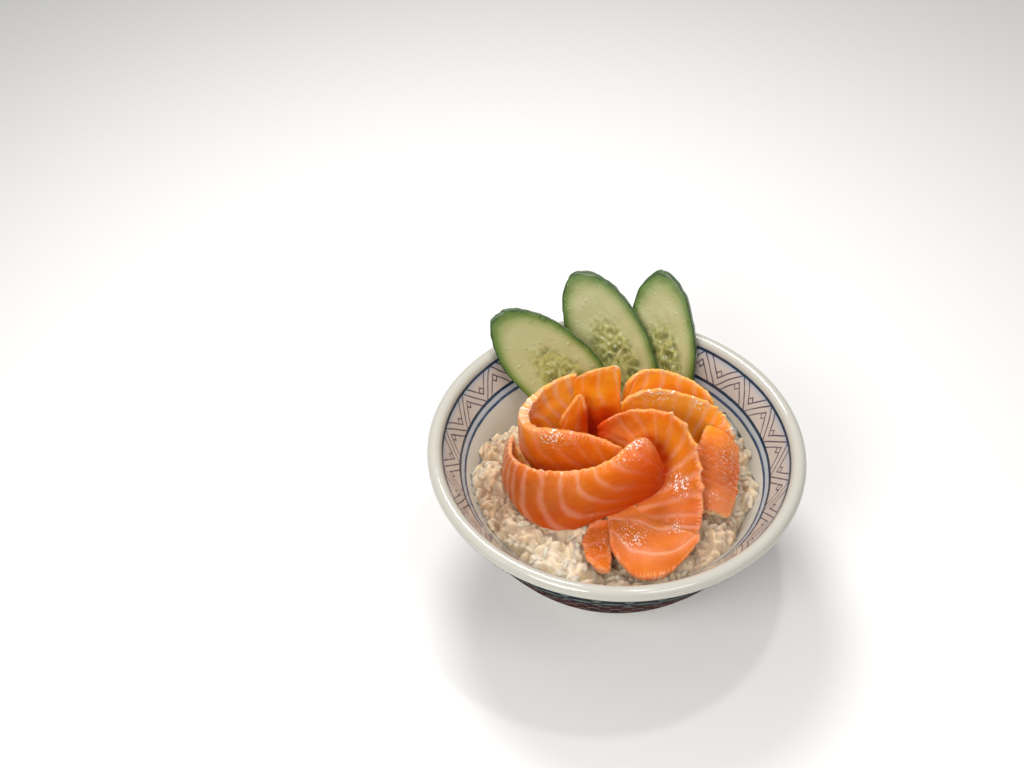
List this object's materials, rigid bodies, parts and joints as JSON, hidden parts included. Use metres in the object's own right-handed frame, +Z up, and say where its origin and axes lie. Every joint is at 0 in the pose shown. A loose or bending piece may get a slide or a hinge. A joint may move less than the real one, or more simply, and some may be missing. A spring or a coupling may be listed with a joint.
{
  "type": "salmon rice bowl",
  "caption": "Footed round porcelain bowl of cooked rice, topped with a rose of raw salmon slices and cucumber slices fanned out against the rim.",
  "frame": {"origin": "middle of the whole part's box, on the surface that the foot ring stands on", "axes": "+Z up, +X to the right and -Y towards the side the picture is taken from; the cucumber slices stand at +Y"},
  "size_m": [0.15, 0.153, 0.0987],
  "materials": {
    "porcelain": "white glaze with a blue line pattern inside and a dark band outside",
    "cooked_rice": "moist cooked rice grains",
    "raw_salmon": "moist orange flesh with pale fat lines",
    "cucumber": "wet pale green flesh with seeds and a dark green skin"
  },
  "bodies": {
    "root": {"bowl": "porcelain", "rice": "cooked_rice", "salmon_front": "raw_salmon", "salmon_heart": "raw_salmon", "salmon_back": "raw_salmon", "salmon_bud": "raw_salmon", "salmon_back_right": "raw_salmon", "salmon_right": "raw_salmon", "salmon_sweep": "raw_salmon", "salmon_low_right": "raw_salmon", "salmon_low_front": "raw_salmon", "salmon_tip": "raw_salmon", "cucumber_left": "cucumber", "cucumber_middle": "cucumber", "cucumber_right": "cucumber"}
  },
  "joints": []
}
